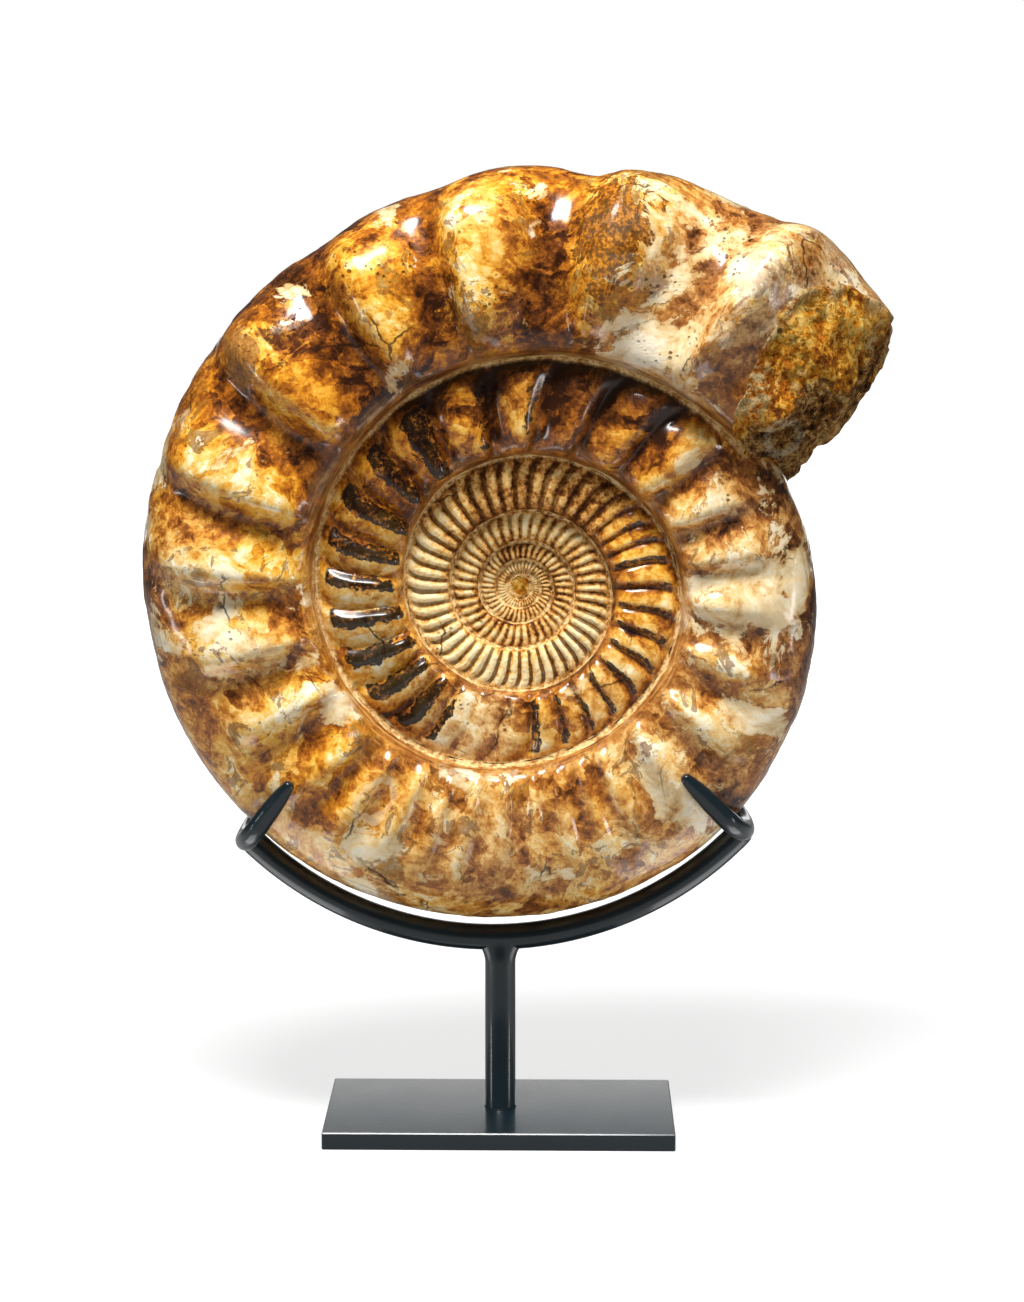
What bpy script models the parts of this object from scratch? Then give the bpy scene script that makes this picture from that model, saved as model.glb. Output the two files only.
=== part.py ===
"""Ribbed ammonite fossil resting in a welded steel stand. Metres, +Z up, the fossil's face towards -Y.

The origin is at the centre of the base plate's underside.
"""
import math

import bmesh
import bpy
import numpy as np
from mathutils import Vector, noise

MM = 0.001
GAP = 0.3 * MM

# Stand: flat plate, upright post, arc bar and the two hooks welded to the arc's ends
PLATE_SIZE = (200 * MM, 100 * MM, 10 * MM)
PLATE_EDGE = 0.6 * MM
POST_X = 0.2 * MM
POST_RADIUS = 8.75 * MM
POST_TOP = 106.5 * MM
WELD_FLARE = 6.5 * MM
WELD_HEIGHT = 11 * MM
ARC_CENTRE = (-5 * MM, 306 * MM)
ARC_RADIUS = 194.8 * MM
BAR_RADIUS = 7.5 * MM
BAR_SETBACK = 3.5 * MM
BEND_DEPTH = 22 * MM
HOOK_RADIUS = 5.8 * MM
PRONG_TAPER = ((0.3, 5.6), (0.6, 4.9), (0.85, 3.7), (0.95, 2.9), (1.0, 1.6))

# Each hook: where its elbow meets the arc, the slope and length of its prongs, half their distance, and how
# far they spread
LEFT_HOOK = {
    "elbow": (-145.0 * MM, 170.1 * MM), "slope": 54.0, "length": 52 * MM,
    "half_width": 44.3 * MM, "spread": 6.4 * MM,
}
RIGHT_HOOK = {
    "elbow": (139.6 * MM, 176.9 * MM), "slope": 134.0, "length": 54 * MM,
    "half_width": 40.9 * MM, "spread": 5.0 * MM,
}

# Fossil: the coil's centre, and its radii in millimetres by angle. The angle grows with the shell, clockwise
# as seen from the front, with 0 to the right on the last whorl and 360 less on each whorl inside it.
COIL_CENTRE = (12.1 * MM, 314.8 * MM)
SEAM_RADII = (
    (-360, 50.6), (-300, 55.6), (-240, 58.4), (-180, 64.4), (-120, 72.6), (-60, 78.8), (0, 89.4),
    (60, 92.3), (120, 104.3), (180, 113.8), (240, 124.6), (300, 137.6), (345, 152.0),
)
VENTER_RADII = (
    (-60, 154.0), (0, 166.5), (30, 174.5), (60, 183.0), (90, 191.0), (120, 200.0), (150, 207.5), (180, 213.5),
    (210, 218.0), (240, 222.0), (255, 226.5), (266, 231.5), (276, 235.0), (288, 239.0), (298, 246.5),
    (306, 253.5), (312, 256.0), (322, 258.5), (345, 261.0),
)
SEAM_GROWTH = 1.70
VENTER_GROWTH = 1.66
THICKNESS_RATIO = 0.215
WIDEST_AT = 0.38
WALL_POWER = 0.75
FLANK_POWER = 0.87

# Ribs: the crests of the last two whorls by angle, and an even pitch on the whorls inside them
OUTER_CRESTS = (
    -25, -11, 3, 19, 35, 50, 64, 71, 78.5, 86, 94.5, 103, 110, 118.5, 128, 138, 154, 169, 185, 201, 222, 243,
    261, 284, 306,
)
SECOND_CRESTS = (
    -377, -366, -355, -344.5, -333.5, -322.5, -311.5, -301, -291, -279.5, -266, -253, -241.5, -230.5, -217.5,
    -204.5, -190.5, -177.5, -166, -152.5, -138.5, -124.5, -105, -90, -73, -57, -41,
)
THIRD_PITCH = 8.0
INNER_PITCH = 9.0
RIB_RISE = 0.155
LIP_RIB_PITCH = 24.0

# How the ribs change along the shell, by angle: their strength, how narrow they are, how far they lean, where
# across the flank they begin, and the share of its height where they end; and how far they bend, in degrees
RIB_STRENGTH = (
    (-2196, 1.3), (-756, 1.5), (-400, 1.6), (-270, 1.5), (-258, 0.4), (-243, 0.5), (-228, 1.7), (-60, 1.6),
    (0, 1.3), (60, 1.35), (100, 1.4), (138, 1.4), (185, 1.5), (222, 1.6), (261, 1.8), (284, 1.8), (306, 1.6),
)
RIB_SHARPNESS = (
    (-2196, 1.1), (-756, 0.9), (-420, 0.7), (-60, 0.7), (0, 1.0), (150, 1.2), (284, 1.4), (300, 2.6),
    (306, 2.8),
)
RIB_LEAN = (
    (-2196, 0.0), (-756, 0.3), (-400, 0.5), (-60, 0.4), (30, 0.0), (150, -0.2), (230, -0.5), (306, -0.4),
)
RIB_START = ((-2196, 0.1), (-60, 0.1), (0, 0.2), (140, 0.25), (222, 0.35), (306, 0.35))
RIB_END = ((-36, 0.5), (140, 0.5), (210, 0.76), (255, 0.76), (272, 0.80), (290, 0.83), (306, 0.82))
RIB_BEND = ((-2196, 2.0), (-760, 3.0), (-400, 4.5), (-60, 4.5), (-20, 1.2), (306, 1.2))

# Broken end: its angle, and the degrees by which its edge lies past that, by row on the front and on the back
BREAK_ANGLE = 324.0
FRONT_EDGE = (
    (0, 5.0), (0.2, -1.0), (0.55, -5.7), (1.0, -9.5), (1.28, -12.5), (1.7, -11.0), (2.16, -7.0), (2.6, -3.5),
    (3.0, -1.0),
)
REAR_EDGE = ((0, 16.5), (0.8, 14.0), (1.1, 10.5), (1.5, 7.0), (2.15, 2.2), (3.0, -1.0))
SLANT_FADE = 45.0
BREAK_STEPS = 6
BREAK_ROUGHNESS = 7 * MM
BREAK_SWELL = 15 * MM

# Mesh rows across the shell: 0 is the seam, 1 the greatest thickness, 2 the next whorl's seam, 3 the venter
OUTER_ROWS = (0, 0.5, 1, 1.35, 1.7, 2, 2.4, 2.7, 3)
THIRD_ROWS = (0, 0.6, 1.3)
INNER_ROWS = (0, 1)
SECOND_START = -396.0
THIRD_START = -756.0
COIL_START = -1476.0

STONE = ("fossil_stone", (0.55, 0.33, 0.13), 0.22, 0.0)
PAINT = ("stand_paint", (0.022, 0.033, 0.04), 0.38, 0.0)


def clear_scene():
    for item in list(bpy.data.objects):
        bpy.data.objects.remove(item, do_unlink=True)


def material(name, colour, roughness, metallic):
    found = bpy.data.materials.get(name)
    if found:
        return found
    made = bpy.data.materials.new(name)
    made.use_nodes = True
    shader = made.node_tree.nodes["Principled BSDF"]
    shader.inputs["Base Color"].default_value = (*colour, 1.0)
    shader.inputs["Roughness"].default_value = roughness
    shader.inputs["Metallic"].default_value = metallic
    return made


def add_object(name, data, finish):
    data.materials.append(material(*finish))
    made = bpy.data.objects.new(name, data)
    bpy.context.collection.objects.link(made)
    return made


def add_mesh(name, shape, finish, smooth_angle):
    bmesh.ops.recalc_face_normals(shape, faces=shape.faces)
    data = bpy.data.meshes.new(name)
    shape.to_mesh(data)
    shape.free()
    data.shade_smooth()
    data.set_sharp_from_angle(angle=math.radians(smooth_angle))
    return add_object(name, data, finish)


def smooth_step(value):
    value = min(max(value, 0.0), 1.0)
    return value * value * (3 - 2 * value)


def between(table, angle):
    """Value of a table of (angle, value) pairs, on a smooth curve through its points."""
    last = len(table) - 2
    index = max(i for i in range(last + 1) if i == 0 or table[i][0] <= angle)
    (x0, y0), (x1, y1) = table[index], table[index + 1]
    before = table[max(index - 1, 0)]
    after = table[min(index + 2, last + 1)]
    slope0 = (y1 - before[1]) / (x1 - before[0])
    slope1 = (after[1] - y0) / (after[0] - x0)
    step, part = x1 - x0, (angle - x0) / (x1 - x0)
    if not 0 <= part <= 1:
        slope = slope0 if part < 0 else slope1
        return (y0 + slope * (angle - x0)) if part < 0 else (y1 + slope * (angle - x1))
    square, cube = part * part, part ** 3
    return (
        y0 * (2 * cube - 3 * square + 1) + y1 * (3 * square - 2 * cube)
        + step * slope0 * (cube - 2 * square + part) + step * slope1 * (cube - square)
    )


# Fossil

def grown(table, growth, angle):
    """Radius from a table, with the same growth on each turn before and after it."""
    held = min(max(angle, table[0][0]), table[-1][0])
    return between(table, held) * MM * growth ** ((angle - held) / 360)


def seam_radius(angle):
    return grown(SEAM_RADII, SEAM_GROWTH, angle)


def venter_radius(angle):
    return grown(VENTER_RADII, VENTER_GROWTH, angle)


def half_thickness(angle):
    return THICKNESS_RATIO * venter_radius(angle)


def widest_radius(angle):
    seam = seam_radius(angle)
    return seam + WIDEST_AT * (venter_radius(angle) - seam)


def covered_turn(angle):
    """Turn in radians from the greatest thickness to where the next whorl covers this one."""
    widest = widest_radius(angle)
    share = (seam_radius(angle + 360) - widest) / (venter_radius(angle) - widest)
    return math.asin(min(max(share, 0.1), 0.95) ** (1 / FLANK_POWER))


def seam_depth(angle):
    """Depth of the seam, which lies on the flank of the whorl inside."""
    return half_thickness(angle - 360) * math.cos(covered_turn(angle - 360)) ** FLANK_POWER


def rib_crests():
    crests = list(SECOND_CRESTS + OUTER_CRESTS)
    while crests[0] > THIRD_START:
        crests.insert(0, crests[0] - THIRD_PITCH)
    while crests[0] > COIL_START:
        crests.insert(0, crests[0] - INNER_PITCH)
    return crests


CRESTS = rib_crests()


def by_angle(table, angle):
    return float(np.interp(angle, *zip(*table)))


def rib_wave(angle, level):
    """1 on a crest, 0 between two, with the pitch between them in degrees."""
    index = max(i for i, crest in enumerate(CRESTS) if i == 0 or crest <= angle)
    pitch = CRESTS[index + 1] - CRESTS[index] if index < len(CRESTS) - 1 else LIP_RIB_PITCH
    past = (angle - CRESTS[index]) / pitch
    if index == len(CRESTS) - 1:
        past = min(past, 0.5)
    phase = 2 * math.pi * (past - by_angle(RIB_BEND, angle) * max(level - 1, 0) ** 2 / pitch)
    phase += by_angle(RIB_LEAN, angle) * (1 - math.cos(phase))
    sharpness = by_angle(RIB_SHARPNESS, angle)
    if angle > BREAK_ANGLE - 360:
        sharpness *= 1 + 1.5 * (1 - smooth_step((level - 0.35) / 0.75))
    return (0.5 + 0.5 * math.cos(phase)) ** sharpness, pitch


def rib_reach(angle, level, height):
    """Share of a rib's rise at this place across the flank; height is 0 at the seam and 1 at the venter."""
    end = by_angle(RIB_END, angle)
    fade = smooth_step((height - end) / 0.30)
    if angle <= BREAK_ANGLE - 360:
        fade = smooth_step((level - 1.55) / 0.45)
    return smooth_step((level - by_angle(RIB_START, angle)) / 0.65) * (1 - fade)


def shell_point(angle, row):
    """Point of the shell; row runs from 0 at the front seam over 3 at the venter to 6 at the back seam."""
    level = min(row, 6 - row)
    side = -1 if row <= 3 else 1
    seam, venter, widest = seam_radius(angle), venter_radius(angle), widest_radius(angle)
    thick = half_thickness(angle)
    if level < 1:
        turn = level * math.pi / 2
        depth = seam_depth(angle)
        radius = widest - (widest - seam) * max(math.cos(turn), 0) ** WALL_POWER
        depth += (thick - depth) * math.sin(turn) ** WALL_POWER
        lean = (-math.cos(turn), math.sin(turn))
    else:
        covered = covered_turn(angle)
        turn = (level - 1) * covered if level < 2 else covered + (level - 2) * (math.pi / 2 - covered)
        radius = widest + (venter - widest) * math.sin(turn) ** FLANK_POWER
        depth = thick * max(math.cos(turn), 0) ** FLANK_POWER
        lean = (math.sin(turn), math.cos(turn))
    wave, pitch = rib_wave(angle, level)
    rise = RIB_RISE * by_angle(RIB_STRENGTH, angle) * math.radians(pitch) * widest * (wave - 0.4)
    rise *= rib_reach(angle, level, (radius - seam) / (venter - seam))
    radius += rise * lean[0]
    depth = (depth + rise * lean[1]) * side
    turned = math.radians(angle)
    across, up = radius * math.cos(turned), -radius * math.sin(turned)
    return Vector((COIL_CENTRE[0] + across, depth, COIL_CENTRE[1] + up))


def break_slant(angle, row):
    """Degrees by which the mesh columns lean, so that one of them lies along the broken edge."""
    level = min(row, 6 - row)
    if angle > BREAK_ANGLE - 180:
        near = smooth_step((angle - BREAK_ANGLE + SLANT_FADE) / SLANT_FADE)
        return near * by_angle(FRONT_EDGE if row < 3 else REAR_EDGE, level)
    near = 1 - smooth_step(abs(angle - BREAK_ANGLE + 360) / SLANT_FADE)
    back_share = min(max((row - 2) / 2, 0.0), 1.0)
    seam_end = FRONT_EDGE[0][1] * (1 - back_share) + REAR_EDGE[0][1] * back_share
    return near * seam_end * min(level / 2, 1.0)


def column_angles():
    angles = []
    for crest, following in zip(CRESTS, CRESTS[1:]):
        parts = (0, 0.25, 0.5, 0.75) if crest >= SECOND_START else (0, 0.5)
        if crest < THIRD_START:
            parts = (0,)
        angles += [crest + part * (following - crest) for part in parts]
    angles += [CRESTS[-1], CRESTS[-1] + 6, CRESTS[-1] + 12]
    fixed = [COIL_START, COIL_START + 360, BREAK_ANGLE - 360, BREAK_ANGLE]
    angles = [a for a in angles if COIL_START < a < BREAK_ANGLE and min(abs(a - f) for f in fixed) > 1.5]
    return sorted(angles + fixed)


def column_rows(angle):
    """Rows of one column: the full section where no whorl covers it, otherwise the two flanks apart."""
    if angle >= BREAK_ANGLE - 360:
        return [list(OUTER_ROWS) + [6 - row for row in reversed(OUTER_ROWS[:-1])]]
    levels = [row for row in OUTER_ROWS if row < 2]
    if angle < SECOND_START:
        levels = list(THIRD_ROWS)
    if angle < THIRD_START:
        levels = list(INNER_ROWS)
    return [levels, [6 - row for row in reversed(levels)]]


def zip_rows(shape, first, second):
    """Faces between two rows of (place, vertex) pairs, which may have different numbers of points."""
    i = j = 0
    while i < len(first) - 1 or j < len(second) - 1:
        corners = [first[i][1]]
        next_first = first[i + 1][0] if i < len(first) - 1 else math.inf
        next_second = second[j + 1][0] if j < len(second) - 1 else math.inf
        start = second[j][1]
        if next_first <= next_second + 1e-6:
            i += 1
            corners.append(first[i][1])
        if next_second <= next_first + 1e-6:
            j += 1
            corners.append(second[j][1])
        corners.append(start)
        corners = list(dict.fromkeys(corners))
        if len(corners) > 2:
            shape.faces.new(corners)


def close_break(shape, rim, covered):
    """Rough broken face between the last column and the uncovered venter of the whorl inside."""
    count = len(rim) - 1
    along = [Vector(p.co) for p in covered]

    def on_covered(part):
        place = part * (len(along) - 1)
        index = min(int(place), len(along) - 2)
        return along[index].lerp(along[index + 1], place - index)

    rows = [[(i / count, vertex) for i, vertex in enumerate(rim)]]
    axis = Vector((COIL_CENTRE[0], 0, COIL_CENTRE[1]))
    for step in range(1, BREAK_STEPS):
        row = [(0, rim[0])]
        for i in range(1, count):
            place = rim[i].co.lerp(on_covered(i / count), step / BREAK_STEPS)
            spoke = place - axis
            onward = Vector((spoke.z, 0, -spoke.x)).normalized()
            rough = noise.noise(place * 38) + 0.5 * noise.noise(place * 90)
            middle = math.sin(math.pi * i / count) * math.sin(math.pi * step / BREAK_STEPS)
            level = OUTER_ROWS[i] if i < len(OUTER_ROWS) else 6 - OUTER_ROWS[count - i]
            front_part = smooth_step((level - 0.2) / 1.4) * (1 - smooth_step((level - 2.2) / 2.2))
            share = step / BREAK_STEPS
            ridge = min(share / 0.42, (1 - share) / 0.58) * smooth_step(middle / 0.35)
            swell = (onward * 0.75 - Vector((0, 0.65, 0))) * (math.sqrt(middle) * 0.3 + ridge * 0.9)
            swell *= BREAK_SWELL * front_part
            place += swell + onward * BREAK_ROUGHNESS * (rough + 0.6) * middle
            row.append((i / count, shape.verts.new(place)))
        row.append((1, rim[-1]))
        rows.append(row)
    rows.append([(i / (len(covered) - 1), vertex) for i, vertex in enumerate(covered)])
    for first, second in zip(rows, rows[1:]):
        zip_rows(shape, first, second)


def build_ammonite():
    shape = bmesh.new()
    angles = column_angles()
    opening = angles.index(BREAK_ANGLE - 360)
    columns = []
    for angle in angles:
        parts = []
        for rows in column_rows(angle):
            part = []
            for row in rows:
                if angle == BREAK_ANGLE and row in (0, 6):
                    level = 2 if row == 0 else 4
                    vertex = next(v for r, v in columns[opening][0] if r == level)
                else:
                    vertex = shape.verts.new(shell_point(angle + break_slant(angle, row), row))
                part.append((row, vertex))
            parts.append(part)
        columns.append(parts)
    seams = [
        [(angle, column[0][0][1]) for angle, column in zip(angles, columns)],
        [(angle, column[-1][-1][1]) for angle, column in zip(angles, columns)],
    ]
    next_turn = [
        [(angle - 360, vertex) for angle, vertex in seam if angle >= COIL_START + 360] for seam in seams
    ]

    for index in range(len(angles) - 1):
        here, following = columns[index], columns[index + 1]
        if index >= opening:
            zip_rows(shape, here[0], following[0])
        elif index == opening - 1:
            whole = following[0]
            inner = here[0][-1][0]
            zip_rows(shape, here[0], [pair for pair in whole if pair[0] <= inner])
            zip_rows(shape, here[1], [pair for pair in whole if pair[0] >= 6 - inner])
        else:
            zip_rows(shape, here[0], following[0])
            zip_rows(shape, here[1], following[1])

    covered = range(opening + 1)
    edges = [[], []]
    for index in covered:
        levels = column_rows(angles[max(index - 1, 0)])[0]
        last = len(levels) - 1 if index == opening else len(columns[index][0]) - 1
        edges[0].append((angles[index], columns[index][0][last][1]))
        edges[1].append((angles[index], columns[index][-1][-1 - last if index == opening else 0][1]))
    for edge, seam in zip(edges, next_turn):
        zip_rows(shape, edge, [pair for pair in seam if pair[0] <= BREAK_ANGLE - 360])

    for side in (0, 1):
        ring = [vertex for angle, vertex in seams[side] if angle <= COIL_START + 360]
        start = [vertex for row, vertex in columns[0][side]]
        start = start[1:] if side == 0 else list(reversed(start))[1:]
        middle = sum((vertex.co for vertex in ring), Vector()) / len(ring)
        apex = shape.verts.new((middle.x, middle.y * 1.05, middle.z))
        loop = ring + list(reversed(start))
        for first, second in zip(loop, loop[1:] + loop[:1]):
            shape.faces.new((first, second, apex))

    rim = [vertex for row, vertex in columns[-1][0]]
    uncovered = [vertex for row, vertex in columns[opening][0] if 2 <= row <= 4]
    close_break(shape, rim, uncovered)
    add_mesh("ammonite", shape, STONE, 50)


# Stand

def build_base_plate():
    shape = bmesh.new()
    bmesh.ops.create_cube(shape, size=1)
    bmesh.ops.scale(shape, vec=PLATE_SIZE, verts=shape.verts)
    bmesh.ops.translate(shape, vec=(0, 0, PLATE_SIZE[2] / 2), verts=shape.verts)
    bmesh.ops.bevel(shape, geom=shape.edges, offset=PLATE_EDGE, segments=1, affect="EDGES")
    add_mesh("base_plate", shape, PAINT, 30)


def arc_point(turn):
    """Point of the bar's centre line; turn is 0 at its lowest point and grows to the right."""
    return Vector((
        ARC_CENTRE[0] + ARC_RADIUS * math.sin(turn), 0.0, ARC_CENTRE[1] - ARC_RADIUS * math.cos(turn),
    ))


def arc_turn(hook):
    elbow = hook["elbow"]
    return math.atan2(elbow[0] - ARC_CENTRE[0], ARC_CENTRE[1] - elbow[1])


def rod_mesh(name, points, radii, sides):
    """Round rod along a list of points, with a radius at each."""
    data = bpy.data.curves.new(name, "CURVE")
    data.dimensions = "3D"
    data.bevel_depth = 1.0
    data.bevel_resolution = sides // 4 - 1
    data.use_fill_caps = True
    spline = data.splines.new("POLY")
    spline.points.add(len(points) - 1)
    for point, place, radius in zip(spline.points, points, radii):
        point.co = (*place, 1.0)
        point.radius = radius
    guide = bpy.data.objects.new(name, data)
    mesh = bpy.data.meshes.new_from_object(guide)
    bpy.data.objects.remove(guide)
    bpy.data.curves.remove(data)
    mesh.name = name
    mesh.shade_smooth()
    mesh.set_sharp_from_angle(angle=math.radians(40))
    return mesh


def cut_away(target, cutter):
    cutter.hide_render = True
    cutter.display_type = "WIRE"
    cut = target.modifiers.new("cut", "BOOLEAN")
    cut.operation = "DIFFERENCE"
    cut.solver = "EXACT"
    cut.object = cutter


def add_cutter(name, data):
    cutter = bpy.data.objects.new(name, data)
    bpy.context.collection.objects.link(cutter)
    return cutter


def hook_path(hook):
    """Centre line of a hook from its front tip round the elbow to its back tip, with the rod's radii."""
    slope = math.radians(hook["slope"])
    inward = Vector((math.cos(slope), 0, math.sin(slope)))
    base = Vector((hook["elbow"][0], 0, hook["elbow"][1]))
    half = []
    bend_steps = 7
    for i in range(bend_steps + 1):
        turn = math.pi / 2 * i / bend_steps
        half.append((BEND_DEPTH * (1 - math.cos(turn)), hook["half_width"] * math.sin(turn), HOOK_RADIUS))
    straight = hook["length"] - BEND_DEPTH
    for share, radius in PRONG_TAPER:
        half.append((BEND_DEPTH + straight * share, hook["half_width"] + hook["spread"] * share, radius * MM))
    front = [(base + inward * a + Vector((0, -y, 0)), r) for a, y, r in reversed(half)]
    back = [(base + inward * a + Vector((0, y, 0)), r) for a, y, r in half[1:]]
    path = front + back
    return [place for place, radius in path], [radius for place, radius in path]


def build_hook(name, hook):
    points, radii = hook_path(hook)
    add_object(name, rod_mesh(name, points, radii, 12), PAINT)
    return rod_mesh(name + "_cutter", points, [radius + GAP for radius in radii], 12)


def build_cradle_bar(hook_cutters):
    setback = BAR_SETBACK / ARC_RADIUS
    first, last = arc_turn(LEFT_HOOK) + setback, arc_turn(RIGHT_HOOK) - setback
    steps = 36
    points = [arc_point(first + (last - first) * i / steps) for i in range(steps + 1)]
    bar = add_object("cradle_bar", rod_mesh("cradle_bar", points, [BAR_RADIUS] * len(points), 12), PAINT)
    for index, data in enumerate(hook_cutters):
        cut_away(bar, add_cutter(f"hook_space_{index}", data))


def build_post():
    """Turned post whose top flares along the bar as the weld, hollowed to the bar that lies on it."""
    profile = [(POST_RADIUS, PLATE_SIZE[2] + GAP), (POST_RADIUS, POST_TOP - WELD_HEIGHT - 4 * MM)]
    for i in range(1, 6):
        share = i / 5
        profile.append((POST_RADIUS + WELD_FLARE * share ** 2.2, POST_TOP - WELD_HEIGHT * (1 - share)))
    shape = bmesh.new()
    path = [shape.verts.new((POST_X + radius, 0, height)) for radius, height in profile]
    path = [shape.verts.new((POST_X, 0, profile[0][1]))] + path + [shape.verts.new((POST_X, 0, POST_TOP))]
    edges = [shape.edges.new(pair) for pair in zip(path, path[1:])]
    bmesh.ops.spin(
        shape, geom=path + edges, cent=(POST_X, 0, 0), axis=(0, 0, 1), angle=2 * math.pi, steps=24,
        use_merge=True,
    )
    bmesh.ops.remove_doubles(shape, verts=shape.verts, dist=0.01 * MM)
    for vertex in shape.verts:
        reach = math.hypot(vertex.co.x - POST_X, vertex.co.y)
        vertex.co.y *= min(1.0, POST_RADIUS / max(reach, POST_RADIUS))
    post = add_mesh("post", shape, PAINT, 40)
    reach = math.radians(12)
    points = [arc_point(reach * (i / 6 - 1)) for i in range(13)]
    bar_space = rod_mesh("bar_space", points, [BAR_RADIUS + GAP] * len(points), 24)
    cut_away(post, add_cutter("bar_space", bar_space))


clear_scene()
build_ammonite()
build_base_plate()
left_cutter = build_hook("left_hook", LEFT_HOOK)
right_cutter = build_hook("right_hook", RIGHT_HOOK)
build_cradle_bar([left_cutter, right_cutter])
build_post()
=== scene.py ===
"""A polished ammonite fossil in its painted steel stand. Metres, +Z up, the fossil's face towards -Y."""
import math

import bpy
import numpy as np
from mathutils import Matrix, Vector


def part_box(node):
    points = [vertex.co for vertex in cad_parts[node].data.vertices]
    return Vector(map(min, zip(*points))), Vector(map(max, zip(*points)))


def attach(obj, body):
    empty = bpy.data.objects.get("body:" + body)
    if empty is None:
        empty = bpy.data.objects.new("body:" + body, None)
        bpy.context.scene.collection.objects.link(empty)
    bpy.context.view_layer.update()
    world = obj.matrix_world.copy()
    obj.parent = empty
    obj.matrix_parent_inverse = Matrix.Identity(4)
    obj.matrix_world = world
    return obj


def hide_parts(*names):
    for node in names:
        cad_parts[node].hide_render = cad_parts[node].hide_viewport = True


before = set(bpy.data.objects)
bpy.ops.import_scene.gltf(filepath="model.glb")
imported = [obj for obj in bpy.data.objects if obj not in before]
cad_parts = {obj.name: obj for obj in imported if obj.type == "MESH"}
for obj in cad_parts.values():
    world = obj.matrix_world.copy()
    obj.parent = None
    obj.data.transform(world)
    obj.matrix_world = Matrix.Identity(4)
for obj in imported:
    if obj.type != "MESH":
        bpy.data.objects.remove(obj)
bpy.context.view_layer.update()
MM = 0.001


# View, floor and light. The camera stands a little above the fossil's middle, one and a half metres in front
# of it. The floor is plain white paper. Soft boxes hang above the front. Strips at both sides and cards on
# the floor outline the rods of the stand, and a card behind it is mirrored in its plate.

def add_object(name, data):
    thing = bpy.data.objects.new(name, data)
    bpy.context.collection.objects.link(thing)
    return thing


def soft_box(name, place, target, size, power, mirrored=True, seen=True, shape="RECTANGLE"):
    light = bpy.data.lights.new(name, "AREA")
    light.shape = shape
    light.size, light.size_y = size
    light.energy = power
    lamp = add_object(name, light)
    lamp.location = place
    lamp.rotation_euler = (Vector(target) - Vector(place)).to_track_quat("-Z", "Y").to_euler()
    lamp.visible_glossy = mirrored
    lamp.visible_camera = seen


CAMERA_DIP = 9.21
CAMERA_SWING = 0.85
view_camera = add_object("camera", bpy.data.cameras.new("camera"))
view_camera.data.lens = 77.42
view_camera.data.sensor_width = 36
view_camera.location = (0.0302, -1.5656, 0.5318)
view_camera.rotation_euler = (math.radians(90 - CAMERA_DIP), 0, math.radians(CAMERA_SWING))
bpy.context.scene.camera = view_camera
bpy.context.scene.view_settings.view_transform = "Standard"

FOSSIL_MIDDLE = (0, 0, 0.33)
soft_box("key_above", (-0.06, -0.66, 1.9), FOSSIL_MIDDLE, (1, 0.45), 28, mirrored=False)
soft_box("key_glint", (-0.2, -0.66, 1.9), FOSSIL_MIDDLE, (0.75, 0.45), 26, shape="ELLIPSE")
soft_box("front_fill", (0.5, -2.8, 0.8), FOSSIL_MIDDLE, (0.9, 0.9), 6.5, mirrored=False)
for side in (-1, 1):
    card_x = 0.22 * side
    soft_box("side_strip", (1.2 * side, -0.4, 0.14), (0, 0, 0.14), (0.08, 0.36), 1.2)
    soft_box("floor_card", (card_x, -0.06, 0.004), (card_x, -0.06, 1), (0.16, 0.16), 0.18, seen=False)
soft_box("back_card", (0, 1.5, 0.36), (0, 0, 0.2), (2, 0.28), 3.6, seen=False)
soft_box("floor_wash", (0, 1.2, 1.6), (0, 0.5, 0), (1.6, 0.8), 9, mirrored=False)


def sum_node(operation):
    return lambda field, other: field.math(operation, other)


class Field:
    """What a node puts out. Sums with it add nodes, so that a formula in a tree reads as a formula."""

    def __init__(self, socket):
        self.socket = socket
        self.tree = socket.id_data

    def math(self, operation, *others):
        return add_node(self.tree, "ShaderNodeMath", self, *others, operation=operation)

    __add__ = __radd__ = sum_node("ADD")
    __sub__ = sum_node("SUBTRACT")
    __mul__ = __rmul__ = sum_node("MULTIPLY")
    __truediv__ = sum_node("DIVIDE")
    __pow__ = sum_node("POWER")

    def __rsub__(self, other):
        return add_node(self.tree, "ShaderNodeMath", other, self, operation="SUBTRACT")

    def clamp(self, low=0, high=1):
        return add_node(self.tree, "ShaderNodeClamp", self, low, high)

    def ramp(self, low, high):
        """0 below one value and 1 above the other, smooth between them."""
        return add_node(self.tree, "ShaderNodeMapRange", self, low, high, interpolation_type="SMOOTHSTEP")

    def fall(self, low, high):
        """1 below one value and 0 above the other, smooth between them."""
        return 1 - self.ramp(low, high)

    def between(self, start, full, fading, end):
        """1 within a range and 0 outside it, smooth at both ends."""
        return self.ramp(start, full) * self.fall(fading, end)

    def off(self, value):
        """Distance from a value."""
        return (self - value).math("ABSOLUTE")

    def parts(self):
        """The x, y and z of a place."""
        split = add_node(self.tree, "ShaderNodeSeparateXYZ", self)
        return [Field(socket) for socket in split.socket.node.outputs]


def set_inputs(node, values):
    """Puts numbers or fields into a node's inputs, given in order or by name."""
    for key, value in values.items() if isinstance(values, dict) else enumerate(values):
        if isinstance(value, Field):
            node.id_data.links.new(value.socket, node.inputs[key])
        else:
            node.inputs[key].default_value = value


def add_node(tree, kind, *values, output=0, **settings):
    """Adds a node. Its inputs are given in order or as one dictionary, as numbers or as fields."""
    node = tree.nodes.new(kind)
    for name, setting in settings.items():
        setattr(node, name, setting)
    set_inputs(node, values[0] if values and isinstance(values[0], dict) else values)
    return Field(node.outputs[output])


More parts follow.
